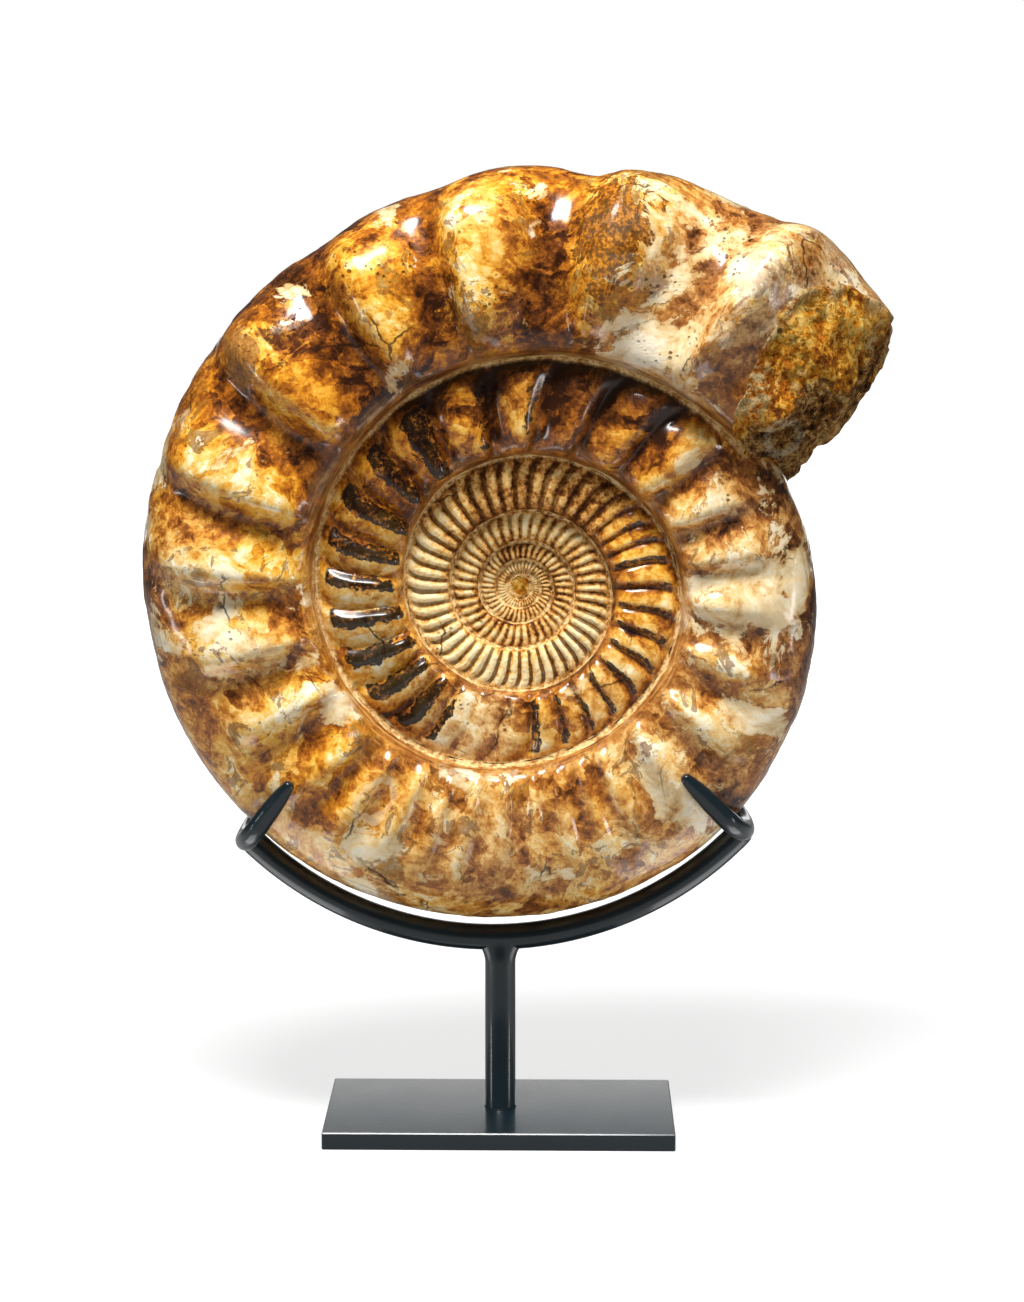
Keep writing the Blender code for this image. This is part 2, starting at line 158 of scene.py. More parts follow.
def new_material(name):
    """Material with an empty tree except for its surface shader."""
    material = bpy.data.materials.new(name)
    material.use_nodes = True
    return material, material.node_tree, material.node_tree.nodes["Principled BSDF"]


def place_of(tree):
    return add_node(tree, "ShaderNodeTexCoord", output=3)


def cloud(tree, vector, scale, detail=3, roughness=0.5, distortion=0, output=0):
    return add_node(tree, "ShaderNodeTexNoise", {
        "Vector": vector, "Scale": scale, "Detail": detail, "Roughness": roughness, "Distortion": distortion,
    }, output=output)


def mosaic(tree, vector, scale, output=0, **settings):
    inputs = {"Vector": vector, "Scale": scale}
    return add_node(tree, "ShaderNodeTexVoronoi", inputs, output=output, **settings)


def blend_colour(tree, share, first, second):
    return add_node(tree, "ShaderNodeMix", {0: share, 6: first, 7: second}, output=2, data_type="RGBA")


def bump(tree, strength, distance, height):
    inputs = {"Strength": strength, "Distance": distance, "Height": height}
    return add_node(tree, "ShaderNodeBump", inputs)


def point_at(tree, x, y, z):
    return add_node(tree, "ShaderNodeCombineXYZ", x, y, z)


def stored_numbers(tree, names):
    """Numbers that the mesh carries, for a material."""
    return [add_node(tree, "ShaderNodeAttribute", output=2, attribute_name=name) for name in names.split()]


def srgb(red, green, blue):
    """Colour of a paint chip, from 0 to 255, as light."""
    return tuple(((part / 255 + 0.055) / 1.055) ** 2.4 for part in (red, green, blue)) + (1,)


WHITE = (1, 1, 1, 1)
SKY_LIGHT = 0.06
world = bpy.data.worlds.new("studio")
world.use_nodes = True
bpy.context.scene.world = world
sky_glow = {"Value": add_node(world.node_tree, "ShaderNodeLightPath"), "To Min": SKY_LIGHT}
sky_glow = add_node(world.node_tree, "ShaderNodeMapRange", sky_glow)
set_inputs(world.node_tree.nodes["Background"], {"Color": WHITE, "Strength": sky_glow})

paper, paper_tree, paper_shader = new_material("paper")
paper_place = place_of(paper_tree)
paper_grain = cloud(paper_tree, paper_place, 220, 2)
paper_x, paper_y = paper_place.parts()[:2]
paper_away = ((paper_x / 1.5) ** 2 + ((paper_y - 0.1) / 0.9) ** 2).math("SQRT")
paper_glow = (paper_away.ramp(0.1, 1) * 0.5 + 0.7) * add_node(paper_tree, "ShaderNodeLightPath")
set_inputs(paper_shader, {
    "Base Color": blend_colour(paper_tree, paper_grain, (0.34, 0.34, 0.34, 1), (0.37, 0.37, 0.37, 1)),
    "Roughness": 0.9,
    "Specular IOR Level": 0.1,
    "Emission Color": WHITE,
    "Emission Strength": paper_glow,
})

FLOOR_HALF = 6
corners = [(x * FLOOR_HALF, y * FLOOR_HALF, 0) for x, y in ((-1, -1), (1, -1), (1, 1), (-1, 1))]
floor_mesh = bpy.data.meshes.new("floor")
floor_mesh.from_pydata(corners, [], [(0, 1, 2, 3)])
floor_mesh.materials.append(paper)
floor = add_object("floor", floor_mesh)


# Fossil. One stone cast of a coiled shell, polished. Its tube grows with each turn and covers part of the
# turn before, with a seam between them. Its ribs run across the tube, which ends in a rough break.

COIL_CENTRE = (12.1 * MM, 314.8 * MM)
SEAM_RADII = (
    (-360, 50.6), (-300, 55.6), (-240, 58.4), (-180, 64.4), (-120, 72.6), (-60, 78.8), (0, 89.4),
    (60, 92.3), (120, 104.3), (180, 113.8), (240, 124.6), (300, 137.6), (345, 152),
)
VENTER_RADII = (
    (-60, 154), (0, 166.5), (30, 174.5), (60, 183), (90, 191), (120, 200), (150, 207.5), (180, 213.5),
    (210, 218), (240, 222), (255, 226.5), (266, 231.5), (276, 235), (288, 239), (298, 246.5),
    (306, 253.5), (312, 256), (322, 258.5), (345, 261),
)
SEAM_GROWTH = 1.70
VENTER_GROWTH = 1.66
THICKNESS_RATIO = 0.215
WIDEST_AT = 0.38
WALL_DEPTH = 0.3
FLANK_DEPTH = 0.55
WALL_POWER = 0.75
FLANK_POWER = 0.87

OUTER_CRESTS = (
    -25, -11, 3, 19, 35, 50, 64, 71, 78.5, 86, 94.5, 103, 110, 118.5, 128, 138, 154, 169, 185, 201, 222, 243,
    261, 284, 306,
)
SECOND_CRESTS = (
    -377, -366, -355, -344.5, -333.5, -322.5, -311.5, -301, -291, -279.5, -266, -253, -241.5, -230.5, -217.5,
    -204.5, -190.5, -177.5, -166, -152.5, -138.5, -124.5, -105, -90, -73, -57, -41,
)
THIRD_TURN = -756
THIRD_PITCH = 8
INNER_PITCH = 9
LIP_RIB_PITCH = 24
LIP_RIB_TURN = 318
RIB_RISE = 0.155
RIB_STRENGTH = (
    (-2196, 1.3), (-756, 1.5), (-400, 1.6), (-270, 1.5), (-258, 0.4), (-243, 0.5), (-228, 1.7), (-60, 1.6),
    (0, 1.3), (60, 1.35), (100, 1.4), (138, 1.4), (185, 1.5), (222, 1.6), (261, 1.8), (284, 1.8), (306, 1.6),
)
RIB_SHARPNESS = (
    (-2196, 1.1), (-756, 0.9), (-420, 0.7), (-60, 0.7), (0, 1), (150, 1.2), (284, 1.4), (300, 2.6),
    (306, 2.8),
)
RIB_LEAN = (
    (-2196, 0), (-756, 0.3), (-400, 0.5), (-60, 0.4), (30, 0), (150, -0.2), (230, -0.5), (306, -0.4),
)
RIB_END = ((-36, 0.5), (140, 0.5), (210, 0.76), (255, 0.76), (272, 0.80), (290, 0.83), (306, 0.82))
RIB_START = ((-2196, 0.1), (-420, 0.1), (-60, 0.1), (0, 0.2), (140, 0.25), (222, 0.35), (306, 0.35))
RIB_BEND = ((-2196, 2), (-760, 3), (-400, 4.5), (-60, 4.5), (-20, 1.2), (306, 1.2))

# Broken end: degrees by which its edge lies past the last column, by row on the front and on the back
BREAK_ANGLE = 324
FRONT_EDGE = (
    (0, 5), (0.2, -1), (0.55, -5.7), (1, -9.5), (1.28, -12.5), (1.7, -11), (2.16, -7), (2.6, -3.5), (3, -1),
)
REAR_EDGE = ((0, 16.5), (0.8, 14), (1.1, 10.5), (1.5, 7), (2.15, 2.2), (3, -1))
EDGE_RAGGED = 0.7
SLANT_FADE = 45
BREAK_STEPS = 60
BREAK_COLUMNS = 160
BREAK_ROUGHNESS = 4.2 * MM
BREAK_SWELL = 19 * MM
SEAM_BEAD = 0.009
DENT_DEPTH = 0.9 * MM
SHELL_SHARP_ANGLE = 55

# Each stretch of the coil between two turns: where it starts, its columns, and its rows on one flank
COIL_STRETCHES = (
    (-2196, 90, 4), (-1836, 120, 5), (-1476, 160, 7), (-1116, 220, 9), (-756, 340, 13), (-396, 540, 20),
    (-36, 640, 34),
)
BEAD_LEVELS = [0, 0.04, 0.08, 0.12]
COVERED_BEAD_LEVELS = [0, 0.06]
COVERED_FROM = 1.93
SECTION_SAMPLES = 3000
SAME = 1e-6


def step_up(value):
    value = min(max(value, 0), 1)
    return value * value * (3 - 2 * value)


def break_slant(turn, row):
    """Degrees by which the mesh columns lean, so that one of them lies along the broken edge."""
    level = min(row, 6 - row)
    edge = np.interp(level, *zip(*(FRONT_EDGE if row < 3 else REAR_EDGE)))
    if turn > BREAK_ANGLE - 180:
        near = step_up((turn - BREAK_ANGLE + SLANT_FADE) / SLANT_FADE)
        ragged = 0.6 * math.sin(11 * row) + 0.4 * math.sin(27 * row + 1)
        return near * (edge + near ** 4 * EDGE_RAGGED * ragged * min(level, 1))
    near = 1 - step_up(abs(turn - BREAK_ANGLE + 360) / SLANT_FADE)
    back_share = min(max((row - 2) / 2, 0), 1)
    seam_end = FRONT_EDGE[0][1] * (1 - back_share) + REAR_EDGE[0][1] * back_share
    return near * seam_end * min(level / 2, 1)


class ShellBlank:
    """The shell's mesh points, each with its place along the coil and across it, and their faces."""

    def __init__(self):
        self.points = []
        self.faces = []

    def add_point(self, turn, row, other_turn=None, other_row=None, share=0, middle=0):
        if other_turn is None:
            other_turn, other_row = turn, row
        self.points.append((turn, row, other_turn, other_row, share, middle))
        return len(self.points) - 1

    def zip_rows(self, first, second):
        """Faces between two rows of (place, point) pairs, which may have different numbers of points."""
        i = j = 0
        while i < len(first) - 1 or j < len(second) - 1:
            corners = [first[i][1]]
            next_first = first[i + 1][0] if i < len(first) - 1 else math.inf
            next_second = second[j + 1][0] if j < len(second) - 1 else math.inf
            start = second[j][1]
            if next_first <= next_second + SAME:
                i += 1
                corners.append(first[i][1])
            if next_second <= next_first + SAME:
                j += 1
                corners.append(second[j][1])
            corners = list(dict.fromkeys(corners + [start]))
            if len(corners) > 2:
                self.faces.append(corners)


def even_levels(count, last):
    """Rows from the seam to a last one, at even distances on the shell's section."""
    fine = np.linspace(0, last, SECTION_SAMPLES)
    wall, flank = np.clip(fine, 0, 1) * math.pi / 2, np.clip(fine - 1, 0, 2) * math.pi / 4
    height = (1 - WIDEST_AT) * np.sin(flank) ** FLANK_POWER - WIDEST_AT * np.cos(wall).clip(0) ** WALL_POWER
    depth = WALL_DEPTH * np.sin(wall) ** WALL_POWER + FLANK_DEPTH * np.cos(flank).clip(0) ** FLANK_POWER
    length = np.concatenate([[0], np.cumsum(np.hypot(np.diff(height), np.diff(depth)))])
    return np.interp(np.linspace(0, length[-1], count), length, fine).tolist()


def column_rows(turn):
    """Rows of one column: the whole section where no turn covers it, otherwise the two flanks apart."""
    count = [rows for start, columns, rows in COIL_STRETCHES if start <= turn][-1]
    if turn >= BREAK_ANGLE - 360:
        half = BEAD_LEVELS + even_levels(count, 3)[1:]
        return [half + [6 - row for row in reversed(half[:-1])]]
    levels = COVERED_BEAD_LEVELS + even_levels(count, COVERED_FROM)[1:]
    return [levels, [6 - row for row in reversed(levels)]]


def build_shell_blank():
    blank = ShellBlank()
    turns = []
    for start, columns, rows in COIL_STRETCHES:
        turns += np.linspace(start, start + 360, columns, endpoint=False).tolist()
    turns.append(BREAK_ANGLE)
    opening = turns.index(BREAK_ANGLE - 360)
    columns = []

    def column_point(turn, row):
        """A new point, but the last column's seams lie on points of the turn inside it."""
        if turn < BREAK_ANGLE or row not in (0, 6):
            return blank.add_point(turn + break_slant(turn, row), row)
        level = 2 if row == 0 else 4
        return min(columns[opening][0], key=lambda pair: abs(pair[0] - level))[1]

    for turn in turns:
        columns.append([[(row, column_point(turn, row)) for row in rows] for rows in column_rows(turn)])
    seams = [[(turn, column[end][end][1]) for turn, column in zip(turns, columns)] for end in (0, -1)]

    for index in range(len(turns) - 1):
        here, following = columns[index], columns[index + 1]
        if index == opening - 1:
            whole, inner = following[0], here[0][-1][0]
            blank.zip_rows(here[0], [pair for pair in whole if pair[0] <= inner])
            blank.zip_rows(here[1], [pair for pair in whole if pair[0] >= 6 - inner])
        else:
            for first, second in zip(here, following):
                blank.zip_rows(first, second)

    # The outer edge of each turn's flank meets the seam of the turn outside it
    first_turn = COIL_STRETCHES[0][0]
    whole = columns[opening][0]
    last_levels = [pair for pair in whole if pair[0] <= columns[opening - 1][0][-1][0]]
    edges = [[(turns[i], columns[i][side][side - 1][1]) for i in range(opening)] for side in (0, 1)]
    edges[0].append((turns[opening], last_levels[-1][1]))
    edges[1].append((turns[opening], whole[-len(last_levels)][1]))
    for side in (0, 1):
        uncovered = [pair for pair in whole if (pair[0] <= 2 if side == 0 else pair[0] >= 4)]
        rest = uncovered[len(last_levels):] if side == 0 else list(reversed(uncovered))[len(last_levels):]
        edge = edges[side]
        seam = [(turn - 360, point) for turn, point in seams[side] if turn >= first_turn + 360]
        blank.zip_rows(edge, seam)
        corner = [edge[-1][1]] + [point for row, point in rest]
        if len(set(corner)) > 2:
            blank.faces.append(list(dict.fromkeys(corner)))

    # The middle of each side closes on one point
    for side in (0, 1):
        ring = [point for turn, point in seams[side] if turn <= first_turn + 360]
        start = [point for row, point in columns[0][side]]
        start = start[1:] if side == 0 else list(reversed(start))[1:]
        row = 0 if side == 0 else 6
        apex = blank.add_point(first_turn + 90, row, first_turn + 270, row, 0.5)
        loop = ring + list(reversed(start))
        for first, second in zip(loop, loop[1:] + loop[:1]):
            blank.faces.append([first, second, apex])

    # Broken face, from the end of the last turn to the uncovered back of the turn inside it
    rim = columns[-1][0]
    uncovered = [pair for pair in whole if 2 - SAME <= pair[0] <= 4 + SAME]
    count = len(rim) - 1
    rim_places = np.array([blank.points[point][:2] for row, point in rim])
    rim_places[0] = rim_places[1]
    rim_places[-1] = rim_places[-2]
    rows = [[(i / count, point) for i, (row, point) in enumerate(rim)]]
    for step in range(1, BREAK_STEPS):
        share = step / BREAK_STEPS
        line = [(0, rim[0][1])]
        for part in np.linspace(0, 1, BREAK_COLUMNS + 1)[1:-1].tolist():
            at = part * count
            turn, rim_row = (float(np.interp(at, range(count + 1), rim_places[:, k])) for k in (0, 1))
            row = 2 + 2 * part
            inner_turn = BREAK_ANGLE - 360 + break_slant(BREAK_ANGLE - 360, row)
            middle = math.sin(math.pi * part) * math.sin(math.pi * share)
            line.append((part, blank.add_point(turn, rim_row, inner_turn, row, share, middle)))
        line.append((1, rim[-1][1]))
        rows.append(line)
    rows.append([((row - 2) / 2, point) for row, point in uncovered])
    for first, second in zip(rows, rows[1:]):
        blank.zip_rows(first, second)
    return blank


def rib_crests():
    crests = list(SECOND_CRESTS + OUTER_CRESTS)
    while crests[0] > THIRD_TURN:
        crests.insert(0, crests[0] - THIRD_PITCH)
    while crests[0] > COIL_STRETCHES[0][0]:
        crests.insert(0, crests[0] - INNER_PITCH)
    return np.array(crests)


def add_numbers(mesh, numbers):
    """Gives the points of a mesh named numbers."""
    for name, values in numbers.items():
        attribute = mesh.attributes.new(name, "FLOAT", "POINT")
        attribute.data.foreach_set("value", np.array(values, dtype=np.float32))


def blank_mesh(blank):
    """Mesh of the blank, which carries each point's place as named numbers."""
    mesh = bpy.data.meshes.new("ammonite_blank")
    places = np.array(blank.points, dtype=float)
    mesh.from_pydata(np.zeros((len(places), 3)).tolist(), [], blank.faces)
    crests = rib_crests()
    pitches = np.append(np.diff(crests), LIP_RIB_PITCH)
    middles = np.append((crests[:-1] + crests[1:]) / 2, LIP_RIB_TURN)
    numbers = {"share": places[:, 4], "middle": places[:, 5]}
    for ending, turn, row in (("", places[:, 0], places[:, 1]), ("_behind", places[:, 2], places[:, 3])):
        phase = np.interp(turn, crests, np.arange(len(crests)))
        phase += np.clip((turn - crests[-1]) / LIP_RIB_PITCH, 0, 0.5)
        numbers["turn" + ending] = turn
        numbers["row" + ending] = row
        numbers["phase" + ending] = phase
        numbers["pitch" + ending] = np.interp(turn, middles, pitches)
    add_numbers(mesh, numbers)
    return mesh


def new_group(name, kind, inputs, outputs):
    """Group of nodes with named sockets. Returns its tree and what its inputs give, by name."""
    tree = bpy.data.node_groups.new(name, kind)
    for way, sockets in (("INPUT", inputs), ("OUTPUT", outputs)):
        for socket_name, socket_kind in sockets:
            tree.interface.new_socket(name=socket_name, in_out=way, socket_type=socket_kind)
    start = tree.nodes.new("NodeGroupInput")
    return tree, {socket.name: Field(socket) for socket in start.outputs if socket.name}


def put_out(tree, results):
    set_inputs(tree.nodes.new("NodeGroupOutput"), results)


def use_group(tree, group, inputs):
    """Places a group in a tree and returns what it puts out, by name."""
    kind = "GeometryNodeGroup" if tree.bl_idname == "GeometryNodeTree" else "ShaderNodeGroup"
    node = add_node(tree, kind, inputs, node_tree=group).socket.node
    return {socket.name: Field(socket) for socket in node.outputs}


def read_table(position, table):
    """Value of a table of (position, value) pairs at a field's value, on a smooth curve."""
    places, values = zip(*table)
    low, high = min(values), max(values)
    share = (position - places[0]) / (places[-1] - places[0])
    result = add_node(position.tree, "ShaderNodeFloatCurve", 1, share)
    mapping = result.socket.node.mapping
    mapping.extend = "HORIZONTAL"
    points = mapping.curves[0].points
    for index, (place, value) in enumerate(table):
        at = (place - places[0]) / (places[-1] - places[0]), (value - low) / (high - low)
        if index in (0, len(table) - 1):
            points[0 if index == 0 else -1].location = at
        else:
            points.new(*at)
    mapping.update()
    return result * (high - low) + low


# Group that gives the tube's radii and half its thickness at a turn of the coil
FLOAT, VECTOR, GEOMETRY = "NodeSocketFloat", "NodeSocketVector", "NodeSocketGeometry"
radii_tree, given = new_group(
    "Coil radii", "GeometryNodeTree", [("Turn", FLOAT)],
    [("Seam", FLOAT), ("Venter", FLOAT), ("Widest", FLOAT), ("Thick", FLOAT)],
)


def radius_by_turn(turn, table, growth):
    """Radius from a table, with the same growth on each turn before and after it."""
    beyond = turn - turn.clamp(table[0][0], table[-1][0])
    return read_table(turn, table) * (beyond * (math.log(growth) / 360)).math("EXPONENT") * MM


coil_seam = radius_by_turn(given["Turn"], SEAM_RADII, SEAM_GROWTH)
coil_venter = radius_by_turn(given["Turn"], VENTER_RADII, VENTER_GROWTH)
put_out(radii_tree, {
    "Seam": coil_seam,
    "Venter": coil_venter,
    "Widest": coil_seam + WIDEST_AT * (coil_venter - coil_seam),
    "Thick": coil_venter * THICKNESS_RATIO,
})

# Group that places a point of the shell. Its row is 0 at the front seam, 3 at the venter and 6 at the back
SHELL_NUMBERS = ("Rib", "Reach", "Height", "Bead", "Crest", "Ahead")
place_tree, given = new_group(
    "Shell place", "GeometryNodeTree",
    [(name, FLOAT) for name in ("Turn", "Row", "Phase", "Pitch", "Rib rise", "Seam bead")],
    [("Place", VECTOR), ("Outward", VECTOR)] + [(name, FLOAT) for name in SHELL_NUMBERS],
)
turn, row = given["Turn"], given["Row"]
level = row.math("MINIMUM", 6 - row)
side = row.math("GREATER_THAN", 3) * 2 - 1
here = use_group(place_tree, radii_tree, {"Turn": turn})
outside = use_group(place_tree, radii_tree, {"Turn": turn + 360})
inside = use_group(place_tree, radii_tree, {"Turn": turn - 360})
seam, venter, widest, thick = here["Seam"], here["Venter"], here["Widest"], here["Thick"]
cover_share = ((outside["Seam"] - widest) / (venter - widest)).clamp(0.1, 0.95)
covered = (cover_share ** (1 / FLANK_POWER)).math("ARCSINE")
inner_share = ((seam - inside["Widest"]) / (inside["Venter"] - inside["Widest"])).clamp(0.1, 0.95)
inner_covered = (inner_share ** (1 / FLANK_POWER)).math("ARCSINE")
seam_depth = inside["Thick"] * inner_covered.math("COSINE") ** FLANK_POWER

wall_turn = level.clamp() * (math.pi / 2)
wall_cos = wall_turn.math("COSINE").clamp()
wall_sin = wall_turn.math("SINE")
flank_turn = covered * (level - 1).clamp() + (math.pi / 2 - covered) * (level - 2).clamp()
flank_cos = flank_turn.math("COSINE").clamp()
flank_sin = flank_turn.math("SINE")
radius = widest - (widest - seam) * wall_cos ** WALL_POWER + (venter - widest) * flank_sin ** FLANK_POWER
depth = seam_depth + (thick - seam_depth) * wall_sin ** WALL_POWER + thick * (flank_cos ** FLANK_POWER - 1)
lean_out = flank_sin - wall_cos
lean_side = wall_sin * flank_cos
height = (radius - seam) / (venter - seam)

outer_whorl = turn.math("GREATER_THAN", BREAK_ANGLE - 360)
forward = ((level - 1).math("MAXIMUM", 0) ** 2) * read_table(turn, RIB_BEND) / given["Pitch"]
phase = (given["Phase"] - forward) * (2 * math.pi)
leaning = phase + read_table(turn, RIB_LEAN) * (1 - phase.math("COSINE"))
sharpness = read_table(turn, RIB_SHARPNESS) * (1 + outer_whorl * level.fall(0.35, 1.1) * 1.5)
wave = (0.5 + 0.5 * leaning.math("COSINE")).clamp() ** sharpness
fade_from = read_table(turn, RIB_END)
open_fade = height.fall(fade_from, fade_from + 0.30)
covered_fade = level.fall(1.55, 2)
rib_start = read_table(turn, RIB_START)
reach = level.ramp(rib_start, rib_start + 0.65) * (outer_whorl * open_fade + (1 - outer_whorl) * covered_fade)
pitch_length = given["Pitch"] * (math.pi / 180) * widest
rise = given["Rib rise"] * pitch_length * read_table(turn, RIB_STRENGTH) * (wave - 0.4) * reach
bead = level.fall(0, 0.13) + (1 - outer_whorl) * level.ramp(1.86, 2)
rise = rise + bead * given["Seam bead"] * seam
radius = radius + rise * lean_out
depth = (depth + rise * lean_side + bead * given["Seam bead"] * seam * 0.5) * side
radians = turn * (math.pi / 180)
spoke_x, spoke_z = radians.math("COSINE"), radians.math("SINE") * -1
put_out(place_tree, {
    "Place": point_at(
        place_tree, COIL_CENTRE[0] + radius * spoke_x, depth, COIL_CENTRE[1] + radius * spoke_z,
    ),
    "Outward": point_at(place_tree, lean_out * spoke_x, lean_side * side, lean_out * spoke_z),
    "Rib": wave * reach,
    "Reach": reach,
    "Height": height,
    "Bead": bead,
    "Crest": phase.math("COSINE"),
    "Ahead": phase.math("SINE"),
})


def vector_math(operation, *values):
    return add_node(values[0].tree, "ShaderNodeVectorMath", *values, operation=operation)


def scaled(vector, factor):
    return add_node(vector.tree, "ShaderNodeVectorMath", {0: vector, "Scale": factor}, operation="SCALE")


# Tree that shapes the fossil from its blank
shell_tree, given = new_group(
    "Ammonite shell", "GeometryNodeTree",
    [("Blank", GEOMETRY), ("Rib rise", FLOAT), ("Seam bead", FLOAT), ("Dent depth", FLOAT),
     ("Break roughness", FLOAT), ("Break swell", FLOAT), ("Lowest", VECTOR), ("Highest", VECTOR),
     ("Finish", "NodeSocketMaterial"), ("Broken finish", "NodeSocketMaterial")],
    [("Shell", GEOMETRY)],
)


def named_number(tree, name):
    return add_node(tree, "GeometryNodeInputNamedAttribute", {"Name": name}, data_type="FLOAT")


def finished(shape, material):
    """Shape made of real points alone, with a material."""
    shape = add_node(shape.tree, "GeometryNodeRealizeInstances", {"Geometry": shape})
    return add_node(shape.tree, "GeometryNodeSetMaterial", {"Geometry": shape, "Material": material})


def shell_point(ending):
    """What the shell has at the place along the coil and across it that a mesh point names."""
    inputs = {name: given[name] for name in ("Rib rise", "Seam bead")}
    for name in ("Turn", "Row", "Phase", "Pitch"):
        inputs[name] = named_number(shell_tree, name.lower() + ending)
    return use_group(shell_tree, place_tree, inputs)


share = named_number(shell_tree, "share")
own, behind = shell_point(""), shell_point("_behind")
step = vector_math("SUBTRACT", behind["Place"], own["Place"])
shell_place = vector_math("ADD", own["Place"], scaled(step, share))
on_break = share.math("GREATER_THAN", 0)


def shell_cloud(scale, detail, roughness=0.5):
    return cloud(shell_tree, shell_place, scale, detail, roughness)


broad_dents = shell_cloud(26, 2).ramp(0.42, 0.62)
small_dents = shell_cloud(90, 3).ramp(0.45, 0.7)
dent = (broad_dents + small_dents * 0.45 + 0.5) * given["Dent depth"] * (1 - on_break)
dented = vector_math("SUBTRACT", shell_place, scaled(own["Outward"], dent))
shell_x, _, shell_z = shell_place.parts()
onward = point_at(shell_tree, shell_z - COIL_CENTRE[1], 0, COIL_CENTRE[0] - shell_x)
onward = vector_math("NORMALIZE", onward)
crumble = (shell_cloud(38, 3) - 0.5) * 6
roughest = shell_cloud(30, 1).ramp(0.42, 0.6) * 0.8 + 0.2
crumble = crumble - shell_cloud(95, 5, 0.7).off(0.5) * roughest * 9
chips = mosaic(shell_tree, shell_place, 150)
crumble = (crumble - chips * roughest * 1.2 + 0.6).clamp(-2.2, 1.3)
middle = named_number(shell_tree, "middle")
ridge = (share / 0.42).math("MINIMUM", (1 - share) / 0.58)
row_here = named_number(shell_tree, "row")
front_part = row_here.between(0.2, 1.6, 2.2, 4.4)
swell = (middle.math("SQRT") * 0.3 + ridge * middle.ramp(0, 0.35) * 0.9) * front_part
swell = scaled(vector_math("ADD", scaled(onward, 0.8), (0, -0.5, 0)), swell * given["Break swell"])
broken = crumble * middle.ramp(0, 0.3) * given["Break roughness"]
crumble_way = vector_math("ADD", scaled(onward, 0.6), (0, -0.6, 0))
final_place = vector_math("ADD", vector_math("ADD", dented, swell), scaled(crumble_way, broken))
final_place = vector_math("MINIMUM", vector_math("MAXIMUM", final_place, given["Lowest"]), given["Highest"])
shaped = {"Geometry": given["Blank"], "Position": final_place}
shaped = add_node(shell_tree, "GeometryNodeSetPosition", shaped)
for name in SHELL_NUMBERS:
    shaped = add_node(
        shell_tree, "GeometryNodeStoreNamedAttribute",
        {"Geometry": shaped, "Name": name.lower(), "Value": own[name]}, data_type="FLOAT", domain="POINT",
    )
shaped = add_node(shell_tree, "GeometryNodeSetMaterial", {
    "Geometry": finished(shaped, given["Finish"]), "Selection": on_break, "Material": given["Broken finish"],
})
put_out(shell_tree, {"Shell": shaped})


def add_piece(name, node, mesh, tree, inputs, sharp_angle):
    """Runs a tree on a mesh and keeps the result as a plain piece, which stands for a node of the frame."""
    guide = add_object(name + "_guide", mesh)
    modifier = guide.modifiers.new("shape", "NODES")
    modifier.node_group = tree
    for item in tree.interface.items_tree:
        if item.in_out == "INPUT" and item.name in inputs:
            modifier[item.identifier] = inputs[item.name]
    bpy.context.view_layer.update()
    made = bpy.data.meshes.new_from_object(guide.evaluated_get(bpy.context.evaluated_depsgraph_get()))
    bpy.data.objects.remove(guide)
    made.name = name
    made.shade_smooth()
    made.set_sharp_from_angle(angle=math.radians(sharp_angle))
    piece = add_object(name, made)
    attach(piece, "root")
    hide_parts(node)


def colour_ramp(position, stops):
    """Colours along a field's value, from (value, paint chip) pairs."""
    ramp = add_node(position.tree, "ShaderNodeValToRGB", position)
    elements = ramp.socket.node.color_ramp.elements
    while len(elements) < len(stops):
        elements.new(0.5)
    for element, (at, colour) in zip(elements, stops):
        element.position = at
        element.color = srgb(*colour)
    return ramp


# Group that shifts a place by slow swirls, so that patterns flow as minerals do
swirl_tree, given = new_group(
    "Swirled place", "ShaderNodeTree", [("Place", VECTOR), ("Swirl size", FLOAT), ("Swirl depth", FLOAT)],
    [("Place", VECTOR)],
)
swirl = cloud(swirl_tree, given["Place"], given["Swirl size"], 3, 0.55, output=1)
swirl = vector_math("SUBTRACT", swirl, (0.5, 0.5, 0.5))
put_out(swirl_tree, {"Place": vector_math("ADD", given["Place"], scaled(swirl, given["Swirl depth"]))})


def swirled_place(tree, place, size, depth):
    return use_group(tree, swirl_tree, {"Place": place, "Swirl size": size, "Swirl depth": depth})["Place"]


# Group of small pits, scattered in clusters; 1 inside a pit
pit_tree, given = new_group(
    "Clustered pits", "ShaderNodeTree", [("Place", VECTOR), ("Pit scale", FLOAT), ("Share", FLOAT)],
    [("Pit", FLOAT)],
)
pit_cells = mosaic(pit_tree, given["Place"], given["Pit scale"])
pit_size = add_node(pit_tree, "ShaderNodeSeparateColor", Field(pit_cells.socket.node.outputs["Color"])) * 0.42
pit_cluster = cloud(pit_tree, given["Place"], given["Pit scale"] * 0.09, 3)
pit_open = (pit_cluster + given["Share"]).ramp(0.97, 1.05)
put_out(pit_tree, {"Pit": pit_cells.fall(pit_size * 0.5, pit_size + 0.02) * pit_open})

# Group of hairline cracks that come and go; 1 in a crack
crack_tree, given = new_group(
    "Hairline cracks", "ShaderNodeTree", [("Place", VECTOR), ("Crack scale", FLOAT), ("Share", FLOAT)],
    [("Crack", FLOAT)],
)
crack_place = swirled_place(crack_tree, given["Place"], 60, 0.012)
crack_edge = mosaic(crack_tree, crack_place, given["Crack scale"], feature="DISTANCE_TO_EDGE")
crack_open = cloud(crack_tree, given["Place"], given["Crack scale"] * 0.8, 2) + given["Share"]
crack_open = crack_open.ramp(1, 1.06)
put_out(crack_tree, {"Crack": crack_edge.fall(0.004, 0.022) * crack_open})

